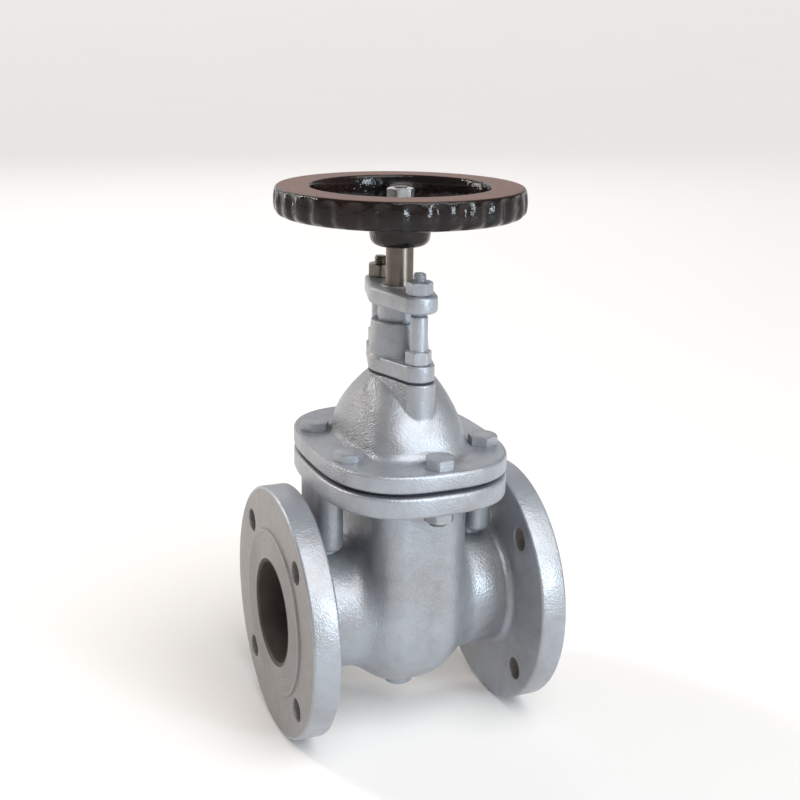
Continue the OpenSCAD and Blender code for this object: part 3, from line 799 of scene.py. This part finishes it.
def body_trim(b):
    """The oval flange, the lugs with their ribs, the fillet under the flange and the drain boss."""
    joint = oval(b.joint_x, b.joint_y, b.joint_power)
    flange = edged(TOP["body"] - JOINT_Z, JOINT_Z, b.joint_edge)
    plan = outline(corners(b.column_x, b.column_y, b.column_corner))
    fillet = 7.0
    arc = np.linspace(0, TAU / 4, 8)
    curve = np.stack([fillet * (1 - np.cos(arc)), JOINT_Z - fillet + fillet * np.sin(arc)], 1)
    ring = [(-1.5, JOINT_Z - fillet - 6), *(curve + (-0.05, 0.05)), (fillet, JOINT_Z + 2), (-6, JOINT_Z + 2)]
    parts = [opened(joint, flange, chamber_mouth(b)), carried(plan, ring)]
    lug_x, lug_y, lug_r = 10.2, 28.0, 9.6
    lug = outline(corners(lug_x, lug_y, lug_r), 96)
    rib = outline(corners(lug_x - 1.5, 14, 6), 72)
    side = rounded([(-6.4, b.lug_foot), (0, b.lug_foot), (0, JOINT_Z + 2), (-4, JOINT_Z + 2)], [5.0, 0])
    for sign in (-1, 1):
        centre = (STEM_X + sign * (b.joint_x - 0.5 - lug_x), 0)
        parts.append(lidded(carried(lug, side, centre)))
        parts.append(lidded(carried(rib, [(0, b.bore_r + 3), (0, b.lug_foot + 3)], centre)))
    low, boss_r = -b.column_drop - b.column_y, 12
    drain = rounded([(TIP, low - 9), (boss_r, low - 9), (boss_r, low - 1), (boss_r + 7, low + 6.5),
                     (TIP, low + 7)], [2.5, 8, 1], 6)
    parts.append(turned(drain, (STEM_X + b.drain_shift, 0, 0), 64))
    return parts


class VALVE_OT_body(bpy.types.Operator):
    """Cast body: both pipe flanges, the necks, the gate chamber, the lugs and the oval flange"""
    bl_idname = "valve.body"
    bl_label = "Cast body"

    def execute(self, context):
        b = sizes(context.scene.valve_body)
        parts = pipe_flange(b, False) + pipe_flange(b, True) + body_skin(b) + body_trim(b)
        # The third finish is the face paint, darker and warmer as painted shade, for the sealing faces and
        # bolt hole walls.
        finishes = [PAINT, "raw_cast_iron", "painted_shade_face_paint"]
        make_piece("body_casting", parts, finishes, "valve", ["body"])
        return {"FINISHED"}


# Bonnet, stuffing box and gland

def plate_circles(t, mid, end, less=1.1):
    """The circles of an oval plate: its middle and both ends, the back one less in radius."""
    return [(0, 0, mid), (0, t.stud_y - 0.5, end - less), (0, -t.stud_y, end)]


def plate_reach(t, mid, end, less, angle):
    """Radius of an oval plate at an angle round the stem, read from its outline's points and the lines
    between."""
    points, _ = outline(plate_circles(t, mid, end, less), 360)
    share = np.linspace(0, 1, 24, endpoint=False)[None, :, None]
    points = (points[:, None] * (1 - share) + np.roll(points, -1, 0)[:, None] * share).reshape(-1, 2)
    at = np.arctan2(points[:, 1], points[:, 0]) % TAU
    order = np.argsort(at)
    return np.interp(angle % TAU, at[order], np.hypot(*points.T)[order], period=TAU)


def dome_surface(t):
    """The dome and the stud bosses: at each height and angle, the blended larger of a superellipse and
    the plate. Each half width falls as (1 - (h / crown) ** n) ** (1 / n), where the crown is the height
    that brings it in to the stuffing box at the top, and the plan goes from square to round on the way
    up. A fillet flares the foot. Inside, the same dome less its wall goes up to a seat for the stem's
    collar."""
    foot = FOOT["bonnet"] + BONNET_FLANGE
    height = TOP["bonnet"] - foot
    fillet, edge, rows = t.dome_fillet, 1.2, 70
    arc = np.linspace(0, TAU / 4, 9)
    cos, sin = np.cos(arc), np.sin(arc)
    rise = np.linspace(fillet, height - edge, rows)
    h = np.concatenate([fillet - fillet * cos, rise[1:], height - edge + edge * sin[1:]])
    flare = np.concatenate([fillet - fillet * sin, np.zeros(rows - 1), edge * cos[1:] - edge])
    a = angles(240)
    top = t.box_foot_r - 0.6

    def half(widest, full, at):
        crown = height / (1 - (top / widest) ** full) ** (1 / full)
        return (widest * (1 - (at / crown) ** full) ** (1 / full))[:, None]

    def dome(at, wall):
        power = DOME_SQUARE - (DOME_SQUARE - 2) * smooth_step(at / height)[:, None]
        half_x, half_y = half(t.dome_x, DOME_FULL_X, at), half(t.dome_y, DOME_FULL_Y, at)
        return oval_reach(a[None], half_x - wall, half_y - wall, power)

    plate = plate_reach(t, top, t.boss_r, 3.7, a)[None]
    outside = smooth_max(dome(h, 0), plate + np.zeros((len(h), 1)), t.boss_blend) + flare[:, None]
    ledge, deep = height - 8, height - 16
    down = np.linspace(deep, 0, 24)
    inside = dome(down, t.dome_wall)
    seat = np.array([(COLLAR_HOLE, height), (COLLAR_HOLE, ledge), (BONNET_HOLE, ledge), (BONNET_HOLE, deep)])
    r = np.concatenate([inside, outside, seat[:, :1] + np.zeros_like(a), inside[:1]])
    z = np.concatenate([down, h, seat[:, 1], down[:1]])[:, None] + foot + np.zeros_like(r)
    return patch(np.stack([STEM_X + r * np.cos(a), r * np.sin(a), z], -1))


class VALVE_OT_bonnet(bpy.types.Operator):
    """Cast bonnet: the oval flange and the dome with its stud bosses"""
    bl_idname = "valve.bonnet"
    bl_label = "Cast bonnet"

    def execute(self, context):
        b, t = sizes(context.scene.valve_body), sizes(context.scene.valve_top)
        joint = oval(b.joint_x, b.joint_y, b.joint_power)
        plate = edged(BONNET_FLANGE, FOOT["bonnet"], b.joint_edge)
        parts = [opened(joint, plate, chamber_mouth(b)), dome_surface(t)]
        make_piece("bonnet_casting", parts, ["bonnet_silver_paint"], "valve", ["bonnet"])
        return {"FINISHED"}


class VALVE_OT_stuffing_box(bpy.types.Operator):
    """Stuffing box, its packing and the gland over it"""
    bl_idname = "valve.stuffing_box"
    bl_label = "Stuffing box and gland"

    def execute(self, context):
        t = sizes(context.scene.valve_top)
        foot, mouth = FOOT["stuffing_box"], TOP["stuffing_box"]
        shoulder, cup_r = foot + t.box_thk, t.gland_sleeve_r + 0.1
        sleeve = rounded([(t.box_foot_r + 1.2, shoulder - 2), (t.box_foot_r, shoulder + 1.5),
                          (t.box_mouth_r, mouth), (cup_r, mouth), (cup_r, mouth - 9), (BOX_HOLE, mouth - 9)],
                         [3, 1.3, 1.0, 0.5], 6)
        plan = outline(plate_circles(t, t.box_foot_r, t.box_end_r))
        flange = opened(plan, edged(t.box_thk, foot, 1.4), (BOX_HOLE, BOX_HOLE, 2))
        make_piece("stuffing_box_casting", [flange, turned(sleeve)], [PAINT], "valve",
                   ["stuffing_box"])

        node = "stuffing_box_gasket"
        plan = outline(plate_circles(t, t.box_foot_r - 0.5, t.box_end_r - 0.5))
        sheet = opened(plan, edged(TOP[node] - FOOT[node], FOOT[node], 0.3), (COLLAR_HOLE, COLLAR_HOLE, 2))
        make_piece("stuffing_box_gasket_sheet", [sheet], ["gasket_sheet"], "valve", [node])

        foot, top, sleeve_r = FOOT["gland"], TOP["gland"], t.gland_sleeve_r
        low = top - GLAND_PLATE
        plan = outline(plate_circles(t, t.gland_mid_r, t.gland_end_r))
        plate = opened(plan, edged(GLAND_PLATE, low, 2.2), (GLAND_HOLE, GLAND_HOLE, 2))
        sleeve = rounded([(GLAND_HOLE, foot), (sleeve_r, foot), (sleeve_r, low), (sleeve_r + 3, low + 1)],
                         [0.8, 2.5], 5)
        lip = rounded([(14.2, top - 0.6), (13.6, top + 0.7), (GLAND_HOLE, top + 0.7), (GLAND_HOLE, top - 2)],
                      [0.6, 0.3], 4)
        make_piece("gland_casting", [plate, turned(sleeve), turned(lip)], [PAINT], "valve",
                   ["gland"])
        dress("packing", "packing_yarn")
        return {"FINISHED"}


class VALVE_OT_gland_studs(bpy.types.Operator):
    """Gland studs with their threads and four nuts"""
    bl_idname = "valve.gland_studs"
    bl_label = "Gland studs and nuts"

    def execute(self, context):
        t = sizes(context.scene.valve_top)
        plate = TOP["gland"] - GLAND_PLATE
        for side, sign, turn_low, turn_high in (("front", -1, 0.35, 0.15), ("back", 1, 0.8, 0.6)):
            centre = (STEM_X, sign * t.stud_y)
            stud, box_nut, gland_nut = side + "_gland_stud", side + "_stuffing_box_nut", side + "_gland_nut"
            shank = rounded([(TIP, FOOT[stud]), (6.75, FOOT[stud]), (6.75, plate - 3.5), (4.6, plate - 2.2),
                             (4.6, plate + 1), (TIP, plate + 1)], [0.8, 0.8, 0.4, 0.2], 4)
            thread = threaded(5.0, plate - 2.5, TOP[stud], 1.5, 0.75, centre)
            bare = PAINT if side == "front" else "turned_steel"
            make_piece(stud + "_turned", [turned(shank, (*centre, 0), 48), (*thread[:2], 1)], [PAINT, bare],
                       "valve", [stud])
            lift = FOOT["stuffing_box"] + t.box_thk - FOOT[box_nut]
            for node, turn, up, coat in ((box_nut, turn_low, lift, PAINT), (gland_nut, turn_high, 0, bare)):
                nut = hexagon(STUD_NUT, FOOT[node] + up, TOP[node] + up, centre, turn)
                make_piece(node + "_hex", [nut], [coat], "valve", [node], NUT_SHARP)
        return {"FINISHED"}


class VALVE_OT_bonnet_bolts(bpy.types.Operator):
    """Six bolts that clamp the bonnet on the body: the end ones have nuts, the side ones screw into it"""
    bl_idname = "valve.bonnet_bolts"
    bl_label = "Bonnet bolts"

    def execute(self, context):
        t = sizes(context.scene.valve_top)
        seat, r = FOOT["bonnet"] + BONNET_FLANGE, t.bolt_d / 2
        # Place along and across the pipe, turns of the head and the nut, and how much lower the head is
        places = [(1, -80, 0.62, 0.49, 0), (-56, -40, 0.3, None, 2), (55, -40, 0.9, None, 0.8),
                  (-55, 40, 0.5, None, 2), (55, 40, 0.05, None, 2), (0, 80, 0.35, 0.6, 0)]
        for number, (x, y, turn_head, turn_nut, lower) in enumerate(places, 1):
            centre = (STEM_X + x, y)
            shank = [(TIP, JOINT_Z + 2), (r - 0.5, JOINT_Z + 2), (r - 0.5, seat + 1), (TIP, seat + 1)]
            parts = [hexagon(t.bolt_af, seat, seat + t.bolt_head - lower, centre, turn_head, False),
                     turned(shank, (*centre, 0), 32)]
            if turn_nut is not None:
                foot = JOINT_Z - t.bolt_nut
                parts += [hexagon(t.bolt_af, foot, JOINT_Z, centre, turn_nut),
                          threaded(r, foot - 3, JOINT_Z + 4, 2.0, 1.0, centre)]
            make_piece(f"bonnet_bolt_{number}", parts, [PAINT], "valve", (), NUT_SHARP)
        return {"FINISHED"}


class VALVE_OT_seals(bpy.types.Operator):
    """Finishes of the gaskets, the sealing rings and the gate"""
    bl_idname = "valve.seals"
    bl_label = "Gaskets, rings and gate"

    def execute(self, context):
        dress("bonnet_gasket", "gasket_sheet")
        rings = [side + ring for ring in ("_seat_ring", "_gate_ring") for side in ("inlet", "outlet")]
        for node in (*rings, "stem_nut"):
            dress(node, "machined_bronze")
        dress("gate", "raw_cast_iron")
        return {"FINISHED"}


# Stem and handwheel

class VALVE_OT_stem(bpy.types.Operator):
    """Stem with its screw, collar and threaded top, and the wheel's washer and nut"""
    bl_idname = "valve.stem"
    bl_label = "Stem"

    def execute(self, context):
        axis = (STEM_X, 0)
        hub, collar = FOOT["handwheel"], TOP["bonnet"]
        screw = threaded(STEM_R, FOOT["stem"], collar - 40, 5.0, 1.8, axis, 48, 12)
        shaft = rounded([(TIP, collar - 41), (STEM_R, collar - 41), (STEM_R, collar - 7.7),
                         (COLLAR_R, collar - 7.7), (COLLAR_R, collar + 1.2), (STEM_R, collar + 1.2),
                         (STEM_R, hub + 2), (7, hub + 3), (7, hub + 28), (TIP, hub + 28)],
                        [0.8, 0.4, 0.6, 0.6, 0.8, 0.6, 0.6, 0.6], 4)
        crest = threaded(6.0, hub + 26, TOP["stem"], 1.75, 0.9, axis)
        make_piece("stem_turned", [turned(shaft), screw, crest], ["turned_steel"],
                   "wheel_and_stem", ["stem"])
        low, high = FOOT["handwheel_washer"], TOP["handwheel_washer"]
        ring = rounded([(6.3, low), (14, low), (14, high), (6.3, high)], [0.3, 0.7], 4)
        make_piece("handwheel_washer_turned", [turned(ring)], ["zinc_plate"],
                   "wheel_and_stem", ["handwheel_washer"])
        nut = hexagon(WHEEL_NUT, FOOT["handwheel_nut"], TOP["handwheel_nut"], axis, 0.4)
        make_piece("handwheel_nut_hex", [nut], ["zinc_plate"],
                   "wheel_and_stem", ["handwheel_nut"], NUT_SHARP)
        return {"FINISHED"}


def wheel_rim(w):
    """Rim: a round-edged section turned about the stem. Its sides fall back with the square of the
    distance from mid height, and the outer side is drawn in by a cosine wave of finger grips."""
    outer, top = HIGH["handwheel"][0] - STEM_X, TOP["handwheel"]
    inner, low = outer - w.rim_w, top - w.rim_h
    middle = (low + top) / 2
    start = (inner, middle)
    line = rounded([start, (inner, low), (outer, low), (outer, top), (inner, top), start],
                   [4, 5, 2.6, 2.2], 6)
    section = []
    for p, q in zip(line, line[1:]):
        section += list(np.linspace(p, q, 6, endpoint=False)) if np.linalg.norm(q - p) > 4 else [p]
    r, z = np.array(section).T
    a = angles(w.grooves * 18)
    side = smooth_step((r - outer + 5) / 5) * smooth_step((top - 0.8 - z) / 3.5)
    grip = (0.5 + 0.5 * np.cos(a * w.grooves)) ** 1.6
    off = ((z - middle) / (w.rim_h / 2)) ** 2
    crown = w.rim_crown * off * (2 * smooth_step((r - inner) / w.rim_w) - 1)
    reach = (r - crown)[None] - w.groove_depth * side[None] * grip[:, None]
    grid = np.stack([STEM_X + reach * np.cos(a)[:, None], reach * np.sin(a)[:, None],
                     np.broadcast_to(z, reach.shape)], -1)
    return patch(np.concatenate([grid, grid[:1]]), True, True)


def wheel_spoke(w, turn):
    """Spoke: a superellipse carried along an S-curve from the hub up to the rim, wider at both ends."""
    hub_z = FOOT["handwheel"] + HUB_HEIGHT - w.spoke_thk / 2
    rim_z = TOP["handwheel"] - w.rim_h / 2
    rim_r, sunk = HIGH["handwheel"][0] - STEM_X - w.rim_w, 7
    along = w.hub_r - 8 + (rim_r + sunk - w.hub_r + 8) * np.linspace(0, 1, 40)
    height = hub_z + (rim_z - hub_z) * smooth_step((along - w.hub_r) / (rim_r - w.hub_r))
    flare = 1 + 0.42 * np.exp(-((along - w.hub_r) / 5) ** 2) + 0.55 * np.exp(-((along - rim_r) / 6) ** 2)
    ray = rays(angles(40))
    across, up = (np.sign(ray) * np.abs(ray) ** (2 / 3.2)).T
    y = (w.spoke_w / 2 * flare)[:, None] * across
    z = height[:, None] + (w.spoke_thk / 2 * (0.75 + 0.25 * flare))[:, None] * up
    x = np.broadcast_to(along[:, None], y.shape)
    c, s = math.cos(turn), math.sin(turn)
    return lidded(patch(np.stack([STEM_X + c * x - s * y, s * x + c * y, z], -1)))


class VALVE_OT_handwheel(bpy.types.Operator):
    """Cast handwheel: the rim with its finger grips, the spokes and the hub"""
    bl_idname = "valve.handwheel"
    bl_label = "Handwheel"

    def execute(self, context):
        w = sizes(context.scene.valve_wheel)
        low, hole, crest_hole = FOOT["handwheel"], 10.8, 9
        top = low + HUB_HEIGHT
        hub = rounded([(hole, low + 3), (hole, low), (w.hub_r - 2, low), (w.hub_r, low + 14), (w.hub_r, top),
                       (crest_hole, top), (crest_hole, top - 3)], [0.5, 7, 4, 2.5, 0.5], 7)
        parts = [wheel_rim(w), turned(hub)]
        parts += [wheel_spoke(w, w.spoke_turn + k * TAU / w.spokes) for k in range(w.spokes)]
        make_piece("handwheel_casting", parts, ["gloss_black_enamel"],
                   "wheel_and_stem", ["handwheel"])
        return {"FINISHED"}


# Stage

def area_light(name, place, target, width, height, power, colour):
    """A soft rectangular light at place, turned to target."""
    data = bpy.data.lights.new(name, "AREA")
    data.shape, data.size, data.size_y = "RECTANGLE", width, height
    data.energy, data.color = power, colour
    lamp = bpy.data.objects.new(name, data)
    lamp.location = place
    lamp.visible_camera = False
    lamp.rotation_euler = (Vector(target) - Vector(place)).to_track_quat("-Z", "Y").to_euler()
    bpy.context.scene.collection.objects.link(lamp)


class VALVE_OT_stage(bpy.types.Operator):
    """Pale floor, soft lights and the camera at the photograph's angle"""
    bl_idname = "valve.stage"
    bl_label = "Stage"

    def execute(self, context):
        scene = context.scene
        reach = np.array([0, 0.6, 2, *np.linspace(3, 27, 25)])
        rise = 0.0055 * np.maximum(reach - 3, 0) ** 2
        profile = np.stack([reach, rise], 1) / MM + (0, FOOT["body"] - 0.05)
        welded_object("studio_floor", [turned(profile, flip=True)], ["studio_floor"])

        world = bpy.data.worlds.new("studio")
        world.use_nodes = True
        background = world.node_tree.nodes["Background"].inputs
        background["Color"].default_value = (1.0, 0.92, 0.86, 1)
        background["Strength"].default_value = 0.22
        scene.world = world
        scene.view_settings.view_transform = "Standard"

        aim = (STEM_X * MM, 0, 0.1)
        area_light("key_light", (0.95, -1.9, 0.5), aim, 0.42, 0.55, 20, (0.78, 0.91, 1.0))
        area_light("left_fill", (-1.4, 2.0, 0.65), aim, 0.6, 0.6, 9, (1.0, 0.90, 0.80))
        area_light("back_light", (-1.2, 1.25, 1.45), aim, 0.35, 0.35, 15, (1.0, 0.95, 0.90))
        area_light("back_panel", (0.6, 3.4, 1.9), aim, 3.6, 1.8, 20, (0.95, 0.97, 1.0))
        sun = bpy.data.lights.new("overhead_light", "SUN")
        sun.energy, sun.angle = 2.9, math.radians(60)
        overhead = bpy.data.objects.new("overhead_light", sun)
        overhead.rotation_euler = (math.radians(36), math.radians(12), 0)
        scene.collection.objects.link(overhead)

        level = math.cos(PHOTO_TILT)
        back = Vector((math.sin(PHOTO_TURN) * level, -math.cos(PHOTO_TURN) * level, math.sin(PHOTO_TILT)))
        right = Vector((math.cos(PHOTO_TURN), math.sin(PHOTO_TURN), 0))
        up = back.cross(right)
        axis_x = math.cos(PHOTO_ROLL) * right - math.sin(PHOTO_ROLL) * up
        axis_y = math.sin(PHOTO_ROLL) * right + math.cos(PHOTO_ROLL) * up
        data = bpy.data.cameras.new("camera")
        data.sensor_width, data.lens = SENSOR, SENSOR * PHOTO_FOCUS
        data.clip_start, data.clip_end = 0.01, 100
        camera = bpy.data.objects.new("camera", data)
        axes = Matrix((axis_x, axis_y, back)).transposed().to_4x4()
        camera.matrix_world = Matrix.Translation(PHOTO_PLACE) @ axes
        scene.collection.objects.link(camera)
        scene.camera = camera
        return {"FINISHED"}


STEPS = (VALVE_OT_body, VALVE_OT_bonnet, VALVE_OT_stuffing_box, VALVE_OT_gland_studs, VALVE_OT_bonnet_bolts,
         VALVE_OT_seals, VALVE_OT_stem, VALVE_OT_handwheel, VALVE_OT_stage)
GROUPS = {"valve_body": ValveBodySizes, "valve_top": ValveTopSizes,
          "valve_wheel": ValveWheelSizes, "valve_colours": ValveColours}


class VALVE_PT_panel(bpy.types.Panel):
    """Steps and sizes of the gate valve"""
    bl_idname = "VALVE_PT_panel"
    bl_label = "Gate valve"
    bl_space_type = "VIEW_3D"
    bl_region_type = "UI"
    bl_category = "Gate valve"

    def draw(self, context):
        for step in STEPS:
            self.layout.operator(step.bl_idname)
        for group in GROUPS:
            box = self.layout.box()
            values = getattr(context.scene, group)
            for key in values.bl_rna.properties.keys():
                if key not in ("rna_type", "name"):
                    box.prop(values, key)


def register():
    for cls in (*GROUPS.values(), *STEPS, VALVE_PT_panel):
        bpy.utils.register_class(cls)
    for name, cls in GROUPS.items():
        setattr(bpy.types.Scene, name, PointerProperty(type=cls))


def unregister():
    for name in GROUPS:
        delattr(bpy.types.Scene, name)
    for cls in (VALVE_PT_panel, *reversed(STEPS), *reversed(GROUPS.values())):
        bpy.utils.unregister_class(cls)


def main():
    """Registers the add-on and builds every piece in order."""
    register()
    for step in STEPS:
        group, name = step.bl_idname.split(".")
        getattr(getattr(bpy.ops, group), name)()


if __name__ == "__main__":
    main()
